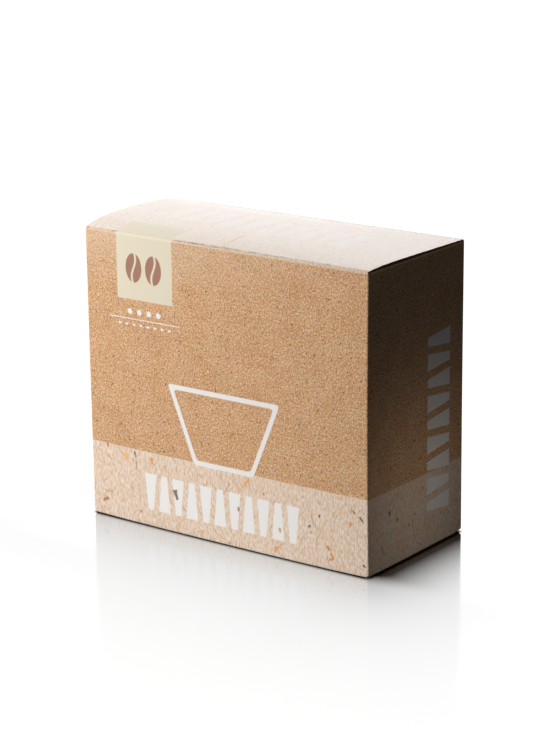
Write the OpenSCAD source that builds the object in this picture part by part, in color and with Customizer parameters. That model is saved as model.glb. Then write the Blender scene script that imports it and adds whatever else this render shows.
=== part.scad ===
/* [Carton] */
// Width from side to side
carton_w = 160; // [120:1:200]
// Depth from front to back
carton_d = 77; // [55:1:110]
// Height to the top of the flat lid
carton_h = 140; // [100:1:180]
// Thickness of the board
board_t = 0.5; // [0.35:0.05:0.8]
// Radius on the inside of every fold
fold_inner_r = 0.4; // [0.2:0.05:0.8]
// Width of the glue flap behind the left panel
glue_flap_w = 15; // [10:1:25]
// Slope of the glue flap's two ends, in degrees
glue_flap_slope = 15; // [5:1:30]
// Distance that the left panel's free edge lies in from the back
seam_setback = 0.3; // [0:0.1:0.6]

/* [Lid and tongue] */
// Height that the lid bows up along its left edge
bow_left = 4.1; // [0:0.1:6]
// Height that the lid bows up along its right edge
bow_right = 1.1; // [0:0.1:6]
// Gap from each side edge of the lid to the outside of the carton
lid_side_gap = 0.3; // [0.1:0.1:1]
// Gap under the lid at its front fold and over the dust flaps
fold_gap = 0.3; // [0.2:0.05:0.5]
// Depth that the tongue reaches down behind the back panel
tongue_l = 16; // [12:1:22]
// Inset of each side of the tongue at its root
tongue_inset = 1; // [0.5:0.5:4]
// Inset of each side of the tongue at its tip
tongue_tip_inset = 3; // [1:0.5:8]
// Corner radius of the tongue's tip
tongue_corner_r = 9; // [4:1:11]
// Gap on both faces of the tongue
tuck_gap = 0.3; // [0.2:0.05:0.5]

/* [Dust flaps] */
// Length of the two flaps under the lid
dust_flap_l = 48; // [30:1:55]
// Taper of a dust flap's front edge over its length
dust_flap_taper = 9; // [0:1:14]
// Corner radius of a dust flap's tip
dust_flap_corner_r = 5; // [2:1:10]

/* [Glued bottom] */
// Length of the two side flaps inside the bottom
side_flap_l = 50; // [30:1:55]
// Corner radius of a side flap's tip
side_flap_corner_r = 4; // [2:1:10]
// Distance that the two long flaps stop short of the far panel
long_flap_gap = 1.5; // [1.2:0.1:4]
// Gap from each side edge of a long flap to the fold beside it
flap_side_gap = 0.4; // [0.2:0.1:1]
// Corner radius of a long flap's tip
long_flap_corner_r = 3; // [1:1:10]

/* [Filters] */
// Number of flat filters in the stack
filter_count = 100; // [40:10:120]
// Room between the filters' open edge and each side panel
filter_side_room = 3.5; // [2:0.5:10]
// Room in front of the stack and behind it
filter_end_room = 3; // [1:0.5:8]
// Height left free over the filters
headroom = 26; // [20:1:40]
// Width of a filter's bottom seam
filter_bottom_w = 70; // [50:1:90]
// Share of a filter's place in the stack that its paper fills
paper_share = 0.8; // [0.6:0.05:0.9]
// Depth of the grooves between the filters' edges
leaf_groove = 1.2; // [0.5:0.1:3]

/* [Hidden] */
$fn = 48;
arc_steps = 8;
panel_steps = 20;
lid_steps = 16;

fold_r = fold_inner_r + board_t;
inside_w = carton_w - 2 * board_t;
inside_d = carton_d - 2 * board_t;
flat_w = carton_w - 2 * fold_r;
flat_d = carton_d - 2 * fold_r;

// Heights of the three layers of the bottom and of the seat under the lid
long_flap_z = board_t;
side_flap_z = 2 * board_t;
floor_z = 3 * board_t;
seat_z = carton_h - board_t - fold_gap;

// The lid turns about the middle of its own board at the front fold
hinge_y = -carton_d / 2 + board_t / 2;
hinge_z = carton_h - board_t / 2;
swing_r = carton_d / 2 - board_t - tuck_gap - board_t / 2 - hinge_y;
fold_mid_r = fold_r - board_t / 2;
lid_panel_l = swing_r - fold_mid_r;
lid_w = carton_w - 2 * lid_side_gap;
dust_flap_back_y = hinge_y + swing_r - board_t / 2 - tuck_gap;

// Powers that shape the rise of the bow behind the front fold and its fall to the back fold
bow_rise = 8;
bow_fall_left = 6.5;
bow_fall_right = 1;

filter_w = inside_w - 2 * filter_side_room;
filter_h = carton_h - floor_z - headroom;
stack_d = inside_d - 2 * filter_end_room;
leaf_pitch = stack_d / filter_count;

function mix(a, b, share) = a + (b - a) * share;
function unit(v) = v / norm(v);
function square_to(v) = [-v.y, v.x];

// The points of an arc that rounds one corner of an outline
function corner_arc(before, corner, after, r) =
    let (
        back = unit(before - corner),
        on = unit(after - corner),
        half = acos(back * on) / 2,
        middle = corner + unit(back + on) * r / sin(half),
        start = corner + back * r / tan(half) - middle,
        first = atan2(start.y, start.x),
        turn = (180 - 2 * half) * sign(cross(corner - before, after - corner))
    )
    [for (k = [0 : arc_steps])
        let (a = first + turn * k / arc_steps)
        middle + r * [cos(a), sin(a)]];

// A flap's outline: its root lies on X from y_a to y_b, and it reaches along +X to two round corners
function flap_outline(length, y_a, y_b, taper_a, taper_b, r) =
    let (
        root_a = [0, y_a],
        tip_a = [length, y_a + taper_a],
        tip_b = [length, y_b - taper_b],
        root_b = [0, y_b]
    )
    concat([root_a], corner_arc(root_a, tip_a, tip_b, r), corner_arc(tip_a, tip_b, root_b, r), [root_b]);

// One quarter of a round fold, seen along it
module fold_quarter() {
    intersection() {
        difference() {
            circle(fold_r);
            circle(fold_inner_r);
        }
        square(fold_r);
    }
}

// A fold along Y under a wall that faces -X, and the flap that it turns along +X
module folded_flap(y_a, y_b, outline) {
    translate([0, y_b, 0])
        rotate([90, 0, 0])
            linear_extrude(y_b - y_a) rotate(180) fold_quarter();
    translate([0, 0, -fold_r])
        linear_extrude(board_t) polygon(outline);
}

// The four panels and their upright folds, seen from above
module wall_plan() {
    translate([-carton_w / 2, -flat_d / 2]) square([board_t, flat_d / 2 + carton_d / 2 - seam_setback]);
    translate([-flat_w / 2, -carton_d / 2]) square([flat_w, board_t]);
    translate([carton_w / 2 - board_t, -flat_d / 2]) square([board_t, flat_d]);
    translate([-flat_w / 2 + board_t, carton_d / 2 - board_t]) square([flat_w - board_t, board_t]);
    translate([-flat_w / 2, -flat_d / 2]) rotate(180) fold_quarter();
    translate([flat_w / 2, -flat_d / 2]) rotate(-90) fold_quarter();
    translate([flat_w / 2, flat_d / 2]) fold_quarter();
    translate([-flat_w / 2 + board_t, flat_d / 2]) rotate(90) fold_quarter();
}

// The part of the walls between two depths and two heights
module wall_band(y_low, y_high, z_low, z_high) {
    translate([0, 0, z_low])
        linear_extrude(z_high - z_low)
            intersection() {
                wall_plan();
                translate([-carton_w / 2, y_low]) square([carton_w, y_high - y_low]);
            }
}

module walls() {
    // The side panels end where the side flaps and the dust flaps turn in
    wall_band(-carton_d / 2, carton_d / 2, side_flap_z + fold_r, seat_z - fold_r);
    wall_band(-carton_d / 2, -flat_d / 2, fold_r, seat_z);
    wall_band(flat_d / 2, carton_d / 2, long_flap_z + fold_r, seat_z - fold_r);
    translate([-flat_w / 2 + board_t, carton_d / 2 - board_t, seat_z - fold_r])
        cube([flat_w - board_t, board_t, carton_h - fold_gap - seat_z + fold_r]);
}

// The strip that turns forward from the back panel and is glued behind the left one
module glue_flap() {
    low = side_flap_z + fold_r;
    high = seat_z - fold_r;
    slope = glue_flap_w * tan(glue_flap_slope);
    translate([-carton_w / 2 + board_t, flat_d / 2, 0])
        rotate([90, 0, 90])
            linear_extrude(board_t)
                polygon([[0, low], [0, high], [-glue_flap_w, high - slope], [-glue_flap_w, low + slope]]);
}

module dust_flaps() {
    outline = flap_outline(dust_flap_l, -flat_d / 2, dust_flap_back_y, dust_flap_taper, 0, dust_flap_corner_r);
    for (side = [0, 1])
        mirror([side, 0, 0])
            translate([-flat_w / 2, 0, seat_z - fold_r])
                mirror([0, 0, 1])
                    folded_flap(-flat_d / 2, dust_flap_back_y, outline);
}

// Two side flaps lie innermost, then the long flap from the back, then the one from the front
module glued_bottom() {
    side_outline = flap_outline(side_flap_l, -flat_d / 2, flat_d / 2, 0, 0, side_flap_corner_r);
    long_edge = flat_w / 2 - flap_side_gap;
    long_l = carton_d - fold_r - long_flap_gap;
    long_outline = flap_outline(long_l, -long_edge, long_edge, 0, 0, long_flap_corner_r);
    for (side = [0, 1])
        mirror([side, 0, 0])
            translate([-flat_w / 2, 0, side_flap_z + fold_r])
                folded_flap(-flat_d / 2, flat_d / 2, side_outline);
    translate([0, flat_d / 2, long_flap_z + fold_r])
        rotate(-90) folded_flap(-long_edge, long_edge, long_outline);
    translate([0, -flat_d / 2, fold_r])
        rotate(90) folded_flap(-long_edge, long_edge, long_outline);
}

// One creased sheet of board: four panels, the glue flap, the dust flaps and the glued bottom
module carton() {
    color("#c9a074") {
        walls();
        glue_flap();
        dust_flaps();
        glued_bottom();
    }
}

// Height of the lid's bow, over its width and from its front fold to its back fold, both 0 to 1
function bow(across, back) =
    mix(bow_left, bow_right, across)
    * (1 - pow(1 - back, bow_rise))
    * (1 - pow(back, mix(bow_fall_left, bow_fall_right, across)));

// The rows of the lid's board from its hinge to the tongue's tip, seen from the right: [back, up, half width]
function lid_rows(across) =
    let (root = fold_mid_r, round_z = tongue_l - tongue_corner_r)
    concat(
        [for (k = [0 : panel_steps])
            let (back = (1 - cos(180 * k / panel_steps)) / 2)
            [back * lid_panel_l, bow(across, back), lid_w / 2]],
        [for (k = [1 : arc_steps])
            let (a = 90 * k / arc_steps)
            [lid_panel_l + fold_mid_r * sin(a), fold_mid_r * (cos(a) - 1), lid_w / 2]],
        [tongue_row(root + tongue_inset / 2, tongue_inset)],
        [for (k = [0 : arc_steps])
            let (a = 90 * k / arc_steps)
            tongue_row(round_z + tongue_corner_r * sin(a), tongue_tip_inset + tongue_corner_r * (1 - cos(a)))]
    );

// The tongue lies on the circle that it swings through, so depth is measured round the hinge
function tongue_row(depth, inset) =
    let (a = depth / swing_r * 180 / PI)
    [swing_r * cos(a), -swing_r * sin(a), lid_w / 2 - inset];

// Both faces of the board along the rows, with a round nose at the hinge, as [x, back, up]
function lid_loop(across) =
    let (
        rows = lid_rows(across),
        end = len(rows) - 1,
        line = [for (row = rows) [row[0], row[1]]],
        lift = [for (k = [0 : end])
            board_t / 2 * unit(square_to(line[min(k + 1, end)] - line[max(k - 1, 0)]))],
        side = [for (row = rows) row[2] * (2 * across - 1)],
        lean = atan2(lift[0].y, lift[0].x)
    )
    concat(
        [for (k = [0 : end]) let (p = line[k] + lift[k]) [side[k], p.x, p.y]],
        [for (k = [end : -1 : 0]) let (p = line[k] - lift[k]) [side[k], p.x, p.y]],
        [for (k = [1 : arc_steps - 1])
            let (a = lean + 180 - 180 * k / arc_steps)
            [side[0], -board_t / 2 * cos(a), -board_t / 2 * sin(a)]]
    );

module lid() {
    loops = [for (i = [0 : lid_steps]) lid_loop(i / lid_steps)];
    count = len(loops[0]);
    end = len(lid_rows(0)) - 1;
    sides = [for (i = [0 : lid_steps - 1], k = [0 : count - 1])
        let (a = i * count + k, b = i * count + (k + 1) % count)
        each [[a, b, a + count], [b, b + count, a + count]]];
    edge = concat(
        [for (k = [0 : end - 1]) each [[k, k + 1, 2 * end - k], [k, 2 * end - k, 2 * end + 1 - k]]],
        [[0, each [for (k = [2 * end + 1 : count - 1]) k]]]
    );
    left_edge = [for (face = edge) [for (k = [len(face) - 1 : -1 : 0]) face[k]]];
    right_edge = [for (face = edge) [for (k = face) k + lid_steps * count]];
    color("#e8dfcf")
        translate([0, hinge_y, hinge_z])
            polyhedron([for (loop = loops) each loop], concat(sides, left_edge, right_edge), convexity = 6);
}

// A filter lying flat in its fold: wide and open at the top, narrow and crimped at the bottom
module filter_outline(inset) {
    top = filter_w / 2 - inset;
    bottom = filter_bottom_w / 2 - inset;
    polygon([[-top, filter_h - inset], [-bottom, inset], [bottom, inset], [top, filter_h - inset]]);
}

// The stack stands on the bottom flaps: a core, and one leaf for the edges of each filter
module filter_stack() {
    color("#f0ebe0")
        translate([0, 0, floor_z])
            rotate([90, 0, 0]) {
                linear_extrude(stack_d - leaf_pitch, center = true) filter_outline(leaf_groove);
                for (k = [0 : filter_count - 1])
                    translate([0, 0, (k + 0.5) * leaf_pitch - stack_d / 2])
                        linear_extrude(leaf_pitch * paper_share, center = true) filter_outline(0);
            }
}

carton();
lid();
filter_stack();
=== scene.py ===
import math

import bmesh
import bpy
from mathutils import Matrix, Vector


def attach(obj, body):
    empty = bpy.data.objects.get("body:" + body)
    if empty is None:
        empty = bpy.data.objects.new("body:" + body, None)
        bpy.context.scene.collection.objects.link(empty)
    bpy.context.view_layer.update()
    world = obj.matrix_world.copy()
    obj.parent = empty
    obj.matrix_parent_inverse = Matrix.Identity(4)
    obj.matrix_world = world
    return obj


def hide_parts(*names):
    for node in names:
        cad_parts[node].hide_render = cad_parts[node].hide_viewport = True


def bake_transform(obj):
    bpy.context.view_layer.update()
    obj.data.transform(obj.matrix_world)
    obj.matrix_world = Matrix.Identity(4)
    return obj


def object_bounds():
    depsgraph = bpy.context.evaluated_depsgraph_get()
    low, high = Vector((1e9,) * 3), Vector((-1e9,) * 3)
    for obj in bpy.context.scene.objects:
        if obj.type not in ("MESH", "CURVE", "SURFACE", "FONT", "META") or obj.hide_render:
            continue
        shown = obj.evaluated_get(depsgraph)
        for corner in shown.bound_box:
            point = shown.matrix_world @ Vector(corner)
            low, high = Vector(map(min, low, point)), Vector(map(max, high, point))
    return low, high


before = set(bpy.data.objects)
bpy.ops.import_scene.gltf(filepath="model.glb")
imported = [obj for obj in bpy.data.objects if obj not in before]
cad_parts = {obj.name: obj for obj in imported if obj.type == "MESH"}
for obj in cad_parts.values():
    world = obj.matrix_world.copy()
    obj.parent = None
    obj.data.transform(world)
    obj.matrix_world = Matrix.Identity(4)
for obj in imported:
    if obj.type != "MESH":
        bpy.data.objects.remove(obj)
cadLow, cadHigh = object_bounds()

scene = bpy.context.scene
mm = 0.001  # sizes are in millimetres here, as a carton maker's are, and the scene is in metres


def linearColour(code):
    # an sRGB hex colour as the linear values that a socket takes
    parts = [int(code[k:k + 2], 16) / 255 for k in (1, 3, 5)]
    return [v / 12.92 if v <= 0.04045 else ((v + 0.055) / 1.055) ** 2.4 for v in parts] + [1.0]


def addNode(tree, kind, inputs=(), **settings):
    # kind is a node's type, or a pair of that and its settings. Inputs go by socket name in a dictionary, or
    # in the order of the sockets in use in a list, and a colour among them is an sRGB hex value.
    if isinstance(kind, tuple):
        kind, settings = kind
    node = tree.nodes.new(kind)
    for name, value in settings.items():
        setattr(node, name, value)
    if isinstance(inputs, dict):
        pairs = [(node.inputs[name], value) for name, value in inputs.items()]
    else:
        pairs = zip([s for s in node.inputs if s.enabled], inputs)
    for socket, value in pairs:
        if isinstance(value, str):
            value = linearColour(value)
        if isinstance(value, bpy.types.Node):
            value = next(s for s in value.outputs if s.enabled)
        if isinstance(value, bpy.types.NodeSocket):
            tree.links.new(value, socket)
        elif value is not None:
            socket.default_value = value
    return node


def newMaterial(name):
    material = bpy.data.materials.new(name)
    material.use_nodes = True
    material.node_tree.nodes.clear()
    return material, material.node_tree


def mix(a, b, share):
    return a + (b - a) * share


def linkObject(name, data):
    made = bpy.data.objects.new(name, data)
    scene.collection.objects.link(made)
    return made


def aimed(place, target):
    # an object's matrix at a place, with its -Z towards the target
    turn = (Vector(target) - Vector(place)).to_track_quat("-Z", "Y")
    return Matrix.Translation(place) @ turn.to_matrix().to_4x4()


# the kinds of node that come up again and again, as pairs for addNode
mathNode, vectorNode = "ShaderNodeMath", "ShaderNodeVectorMath"
plus, minus, times, over, timesPlus = (
    (mathNode, {"operation": name}) for name in ("ADD", "SUBTRACT", "MULTIPLY", "DIVIDE", "MULTIPLY_ADD"))
greater, less, positive, below = (
    (mathNode, {"operation": name}) for name in ("MAXIMUM", "MINIMUM", "ABSOLUTE", "LESS_THAN"))
vectorPlus, vectorMinus, vectorTimes, vectorLength = (
    (vectorNode, {"operation": name}) for name in ("ADD", "SUBTRACT", "MULTIPLY", "LENGTH"))
mixed, mixedColour = (("ShaderNodeMix", {"data_type": name}) for name in ("FLOAT", "RGBA"))
ranged, smoothRanged = (
    ("ShaderNodeMapRange", {"interpolation_type": name}) for name in ("LINEAR", "SMOOTHSTEP"))
flatNoise = ("ShaderNodeTexNoise", {"noise_dimensions": "2D"})
turnedFlat = ("ShaderNodeVectorRotate", {"rotation_type": "Z_AXIS"})
separated, combined, bumped = "ShaderNodeSeparateXYZ", "ShaderNodeCombineXYZ", "ShaderNodeBump"

cameraSetup = {
    "place": (0.63929, -0.86025, 0.37863),
    "yaw": 36.795,     # degrees to the left of straight ahead
    "pitch": -15.904,  # degrees, looking down
    "roll": -0.712,
    "lens": 115.28,
    "sensorHeight": 36,
}

camera = bpy.data.cameras.new("photoCamera")
camera.sensor_fit = "VERTICAL"
camera.sensor_height = cameraSetup["sensorHeight"]
camera.lens = cameraSetup["lens"]
cameraObject = linkObject("photoCamera", camera)
cameraObject.matrix_world = (
    Matrix.Translation(cameraSetup["place"])
    @ Matrix.Rotation(math.radians(cameraSetup["yaw"]), 4, "Z")
    @ Matrix.Rotation(math.radians(90 + cameraSetup["pitch"]), 4, "X")
    @ Matrix.Rotation(math.radians(cameraSetup["roll"]), 4, "Z")
)
scene.camera = cameraObject
scene.view_settings.view_transform = "Standard"

stageSetup = {
    "floorSize": 6.0,
    "floorGlow": 1.02,       # the floor's own white
    "frontShadow": 0.36,       # painted shadow: how much the floor's white falls in front of the carton
    "sideShadow": 0.26,        # and beside it
    "hazeReach": 0.058,      # metres over which it does
    "frontPaintedReflection": 0.22,     # painted reflection and shade of the carton: how much the floor's glow falls at its front foot
    "sidePaintedReflection": 0.85,      # and at the right one
    "frontGloss": 0.27,      # share of the carton's light that the floor gives back in front
    "sideGloss": 0.36,       # and at the right, in the carton's own shade
    "mirrorReach": 0.023,    # metres over which that fades
    "farMirror": 0.025,
    "hazePower": 1.0,        # how roundly the painted shadow, the painted reflection and the real one die away
    "mirrorPower": 1.5,
    "cornerFront": 0.006,    # metres before the front face from which the front's values hold
    "cornerSide": -0.010,    # and behind it from which the right side's do
    "fanLean": 0.6,          # how steeply both fan out past the carton's far corners
    "fanStart": 0.010,       # metres that the fan begins inside them
    "fanEdge": 0.006,        # metres of its soft edge at the carton
    "fanWiden": 0.5,         # and how much that grows with each metre away
    "floorRoughness": 0.10,
    "contactReach": 0.0026,  # metres from its foot that the carton blackens the floor
    "contactOpen": (0.48, 0.98),  # how open the floor is where it is blackest and where it is bare
    "contactDark": 0.02,
    "backdrop": 1.1,         # what the camera sees behind the carton
    "sweepShine": 4.2,       # the white sweep behind, as the board reflects it
    "leftShine": 0.6,        # the pale side of the room, as the board reflects it
    "darkShine": 0.03,       # and the dark side
    "sweepLight": 0.45,      # the white sweep behind, as light on the board
    "roomLight": 0.072,      # the dark room in front and to the right
    "floorBounce": 0.01,     # light from below the horizon
}

# The white sweep stands behind and to the left, and the right side faces the dark room. A part of the room is
# an axis of the direction looked in, and where along it the part begins and where it is full.
roomParts = {
    "behind": ("Y", -0.1, 0.35),
    "leftward": ("X", 0.15, -0.15),
    "lowDown": ("Z", 0.62, 0.34),
    "raised": ("Z", -0.2, 0.02),
}

world = bpy.data.worlds.new("paleStudio")
scene.world = world
world.use_nodes = True
tree = world.node_tree
tree.nodes.clear()
direction = addNode(tree, separated, [addNode(tree, "ShaderNodeTexCoord").outputs["Generated"]]).outputs
rayKind = addNode(tree, "ShaderNodeLightPath").outputs
behind, leftward, lowDown, raised = [
    addNode(tree, smoothRanged, [direction[axis], begins, full, 0.0, 1.0])
    for axis, begins, full in roomParts.values()]
sweep = addNode(tree, times, [behind, leftward])
light = addNode(tree, mixed, [sweep, stageSetup["roomLight"], stageSetup["sweepLight"]])
light = addNode(tree, mixed, [raised, stageSetup["floorBounce"], light])
shine = addNode(tree, mixed, [leftward, stageSetup["darkShine"], stageSetup["leftShine"]])
lowSweep = addNode(tree, times, [addNode(tree, times, [sweep, lowDown]), raised])
shine = addNode(tree, mixed, [lowSweep, shine, stageSetup["sweepShine"]])
strength = addNode(tree, mixed, [rayKind["Is Glossy Ray"], light, shine])
strength = addNode(tree, mixed, [rayKind["Is Camera Ray"], strength, stageSetup["backdrop"]])
glow = addNode(tree, "ShaderNodeBackground", {"Strength": strength})
addNode(tree, "ShaderNodeOutputWorld", {"Surface": glow})

# Soft lamps, of which three stand for the white floor as it lights the carton: place, target and size in
# metres, power in watts, spread in degrees, sRGB colour, and whether the print reflects it.
lamps = {
    "keyLamp": ((-0.55, -0.50, 0.40), (0.0, -0.03, 0.07), 0.45, 9.1, 180, "#fffdfa", False),
    "topLamp": ((-0.15, 0.25, 0.95), (0.0, 0.0, 0.1), 0.8, 1.15, 180, "#ffffff", False),
    "leftBounce": ((-0.46, -0.48, -0.12), (-0.07, -0.04, 0.06), 0.25, 0.22, 180, "#ffffff", True),
    "rightBounce": ((0.168, -0.005, 0.030), (0.08, 0.0, 0.030), 0.05, 0.0027, 85, "#fff2e6", False),
    "frontBounce": ((0.03, -0.14, -0.05), (0.05, -0.04, 0.01), 0.06, 0.022, 180, "#ffffff", False),
    "backRim": ((-0.05, 0.6, 0.10), (0.08, 0.04, 0.07), 0.2, 0.8, 180, "#ffd2b0", False),
}

for name, (place, target, size, power, spread, colour, shines) in lamps.items():
    lamp = bpy.data.lights.new(name, "AREA")
    lamp.shape = "SQUARE"
    lamp.size = size
    lamp.energy = power
    lamp.spread = math.radians(spread)
    lamp.color = linearColour(colour)[:3]
    lampObject = linkObject(name, lamp)
    lampObject.matrix_world = aimed(place, target)
    lampObject.visible_camera = False
    lampObject.visible_glossy = shines

half = stageSetup["floorSize"] / 2
floorMesh = bpy.data.meshes.new("studioFloor")
floorCorners = [(-half, -half, 0), (half, -half, 0), (half, half, 0), (-half, half, 0)]
floorMesh.from_pydata(floorCorners, [], [(0, 1, 2, 3)])
studioFloor = linkObject("studioFloor", floorMesh)
studioFloor.visible_diffuse = False
studioFloor.visible_glossy = False
studioFloor.visible_shadow = False
# White acrylic sheet: its glow is painted darker near the carton in front and at the right, where the camera
# sees that. This is a painted shadow, and a painted reflection of the carton that is strongest at its foot
# and fainter away from it. It also mirrors the carton, strongly at its foot and more and more faintly away
# from it. Where the carton touches it, it is dark.
floorMaterial, tree = newMaterial("whiteAcrylicFloor")
place = addNode(tree, "ShaderNodeTexCoord").outputs["Object"]
beyond = addNode(tree, vectorNode, [place], operation="ABSOLUTE")
beyond = addNode(tree, vectorMinus, [beyond, (cadHigh[0], cadHigh[1], 0.0)])
beyond = addNode(tree, vectorNode, [beyond, (0.0, 0.0, 0.0)], operation="MAXIMUM")
away = addNode(tree, vectorLength, [beyond]).outputs["Value"]
sides = addNode(tree, separated, [place]).outputs
toRight = addNode(tree, minus, [sides["X"], cadHigh[0]])
toFront = addNode(tree, minus, [cadLow[1], sides["Y"]])
# the painted shadow and painted reflection are only there, and their ends fan out softly to the left and to
# the back
leftOut = addNode(tree, greater, [addNode(tree, minus, [cadLow[0], sides["X"]]), 0.0])
backOut = addNode(tree, greater, [addNode(tree, minus, [sides["Y"], cadHigh[1]]), 0.0])
toFrontFan, toRightFan = [
    addNode(tree, timesPlus, [out, -stageSetup["fanLean"], to])
    for out, to in ((leftOut, toFront), (backOut, toRight))]
facing = addNode(tree, plus, [addNode(tree, greater, [toFrontFan, toRightFan]), stageSetup["fanStart"]])
softness = addNode(tree, timesPlus, [away, stageSetup["fanWiden"], stageSetup["fanEdge"]])
facing = addNode(tree, over, [facing, softness])
facing = addNode(tree, smoothRanged, [facing, 0.0, 1.0, 0.0, 1.0])
falls = []
for front, side, reach, power in (
        ("frontShadow", "sideShadow", "hazeReach", "hazePower"),
        ("frontPaintedReflection", "sidePaintedReflection", "mirrorReach", "mirrorPower"),
        ("frontGloss", "sideGloss", "mirrorReach", "mirrorPower")):
    most = addNode(tree, smoothRanged, [
        toFront, stageSetup["cornerFront"], stageSetup["cornerSide"], stageSetup[front], stageSetup[side]])
    fall = addNode(tree, times, [away, 1 / stageSetup[reach]])
    fall = addNode(tree, mathNode, [fall, stageSetup[power]], operation="POWER")
    fall = addNode(tree, mathNode, [addNode(tree, times, [fall, -1.0])], operation="EXPONENT")
    falls.append(addNode(tree, times, [addNode(tree, times, [fall, most]), facing]))
# the floor's own white, less the painted shadow and the painted reflection and shade of the carton
white = addNode(tree, minus, [stageSetup["floorGlow"], addNode(tree, plus, falls[:2])])
white = addNode(tree, greater, [white, 0.0])
clear = addNode(tree, "ShaderNodeAmbientOcclusion", {"Distance": stageSetup["contactReach"]}, samples=8)
clear = addNode(tree, ranged, [
    clear.outputs["AO"], *stageSetup["contactOpen"], stageSetup["contactDark"], 1.0])
glow = addNode(tree, "ShaderNodeEmission", {"Strength": addNode(tree, times, [white, clear])})
gloss = addNode(tree, plus, [falls[2], stageSetup["farMirror"]])
gloss = addNode(tree, times, [gloss, clear])
mirror = addNode(tree, "ShaderNodeBsdfGlossy", {"Color": gloss, "Roughness": stageSetup["floorRoughness"]})
both = addNode(tree, "ShaderNodeAddShader", [glow, mirror])
addNode(tree, "ShaderNodeOutputMaterial", {"Surface": both})
floorMesh.materials.append(floorMaterial)
print("camera, floor and lamps are in place")

# small curved marks, one to a cell of a scattered pattern: fibres, straw, chaff and specks. Sway is how far a
# mark leans from upright at most.
markEdge, faintestMark = 0.35, 0.5  # softness of a mark's edge, and strength of the faintest one
marks = bpy.data.node_groups.new("scatteredMarks", "ShaderNodeTree")
for name in ("Cell", "Share", "Half length", "Half width", "Bend", "Sway", "Seed"):
    marks.interface.new_socket(name, in_out="INPUT", socket_type="NodeSocketFloat")
marks.interface.new_socket("Place", in_out="INPUT", socket_type="NodeSocketVector")
marks.interface.new_socket("Mark", in_out="OUTPUT", socket_type="NodeSocketFloat")
given = addNode(marks, "NodeGroupInput").outputs
shift = addNode(marks, combined, [given["Seed"], given["Seed"], 0.0])
moved = addNode(marks, vectorPlus, [given["Place"], shift])
perCell = addNode(marks, over, [1.0, given["Cell"]])
cells = addNode(marks, "ShaderNodeTexVoronoi", {"Vector": moved, "Scale": perCell}, voronoi_dimensions="2D")
draw = addNode(marks, "ShaderNodeSeparateColor", [cells.outputs["Color"]])
fromSeed = addNode(marks, vectorMinus, [moved, cells.outputs["Position"]])
angle = addNode(marks, timesPlus, [draw.outputs[0], 2.0, -1.0])
angle = addNode(marks, timesPlus, [angle, given["Sway"], math.pi / 2])
turned = addNode(marks, turnedFlat, {"Vector": fromSeed, "Angle": angle})
local = addNode(marks, separated, [turned])
along = addNode(marks, over, [local.outputs["X"], given["Half length"]])
alongSquare = addNode(marks, times, [along, along])
arch = addNode(marks, times, [alongSquare, given["Bend"]])
bent = addNode(marks, minus, [local.outputs["Y"], arch])
across = addNode(marks, over, [addNode(marks, positive, [bent]), given["Half width"]])
reach = addNode(marks, plus, [across, alongSquare])
drawn = addNode(marks, ranged, [reach, 1 + markEdge, 1 - markEdge, 0.0, 1.0])
present = addNode(marks, below, [draw.outputs[1], given["Share"]])
weight = addNode(marks, timesPlus, [draw.outputs[2], 1 - faintestMark, faintestMark])
faded = addNode(marks, times, [drawn, weight])
addNode(marks, "NodeGroupOutput", [addNode(marks, times, [faded, present])])


def drawMarks(tree, place, paint, layers):
    # paints layers of scattered marks over a colour
    for cell, share, halfLength, halfWidth, bend, sway, seed, depth, code in layers:
        mark = addNode(tree, "ShaderNodeGroup", {
            "Place": place, "Cell": cell, "Share": share, "Half length": halfLength, "Half width": halfWidth,
            "Bend": bend, "Sway": sway, "Seed": seed}, node_tree=marks)
        depth = addNode(tree, times, [mark, depth])
        paint = addNode(tree, mixedColour, [depth, paint, code])
    return paint


def trapezoidField(tree, across, up, shape, rounding=0.0):
    # millimetres outside a trapezoid, and negative inside: shape is [low, high, half width low, and high]
    low, high, halfLow, halfHigh = shape
    slope = (halfHigh - halfLow) / (high - low)
    halfHere = addNode(tree, timesPlus, [up, slope, halfLow - slope * low])
    side = addNode(tree, minus, [addNode(tree, positive, [across]), halfHere])
    side = addNode(tree, times, [side, 1 / math.hypot(1, slope)])
    height = addNode(tree, minus, [up, (low + high) / 2])
    ends = addNode(tree, minus, [addNode(tree, positive, [height]), (high - low) / 2])
    if rounding:
        return addNode(tree, mathNode, [side, ends, rounding], operation="SMOOTH_MAX")
    return addNode(tree, greater, [side, ends])


# foot and mouth of a small filter as shares of the pitch, and millimetres that its corners are rounded
rowShape = {"foot": 0.42, "mouth": 0.84, "rounding": 0.5}


def filterRow(tree, along, across, spec):
    # a row of small filter outlines, every second one turned over
    pitch = (spec["end"] - spec["start"]) / spec["count"]
    steps = addNode(tree, timesPlus, [along, 1 / pitch, -spec["start"] / pitch])
    number = addNode(tree, mathNode, [steps], operation="FLOOR")
    within = addNode(tree, minus, [steps, number])
    within = addNode(tree, timesPlus, [within, pitch, -pitch / 2])
    turn = addNode(tree, mathNode, [number, 2.0], operation="MODULO")
    turn = addNode(tree, timesPlus, [turn, -2.0, 1.0])
    middle = (spec["low"] + spec["high"]) / 2
    up = addNode(tree, minus, [across, middle])
    up = addNode(tree, times, [up, turn])
    tall = (spec["high"] - spec["low"]) / 2
    outline = [-tall, tall, rowShape["foot"] * pitch / 2, rowShape["mouth"] * pitch / 2]
    shape = trapezoidField(tree, within, up, outline, rowShape["rounding"])
    fence = addNode(tree, minus, [along, (spec["start"] + spec["end"]) / 2])
    fence = addNode(tree, minus, [addNode(tree, positive, [fence]), (spec["end"] - spec["start"]) / 2])
    return addNode(tree, greater, [shape, fence])


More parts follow.
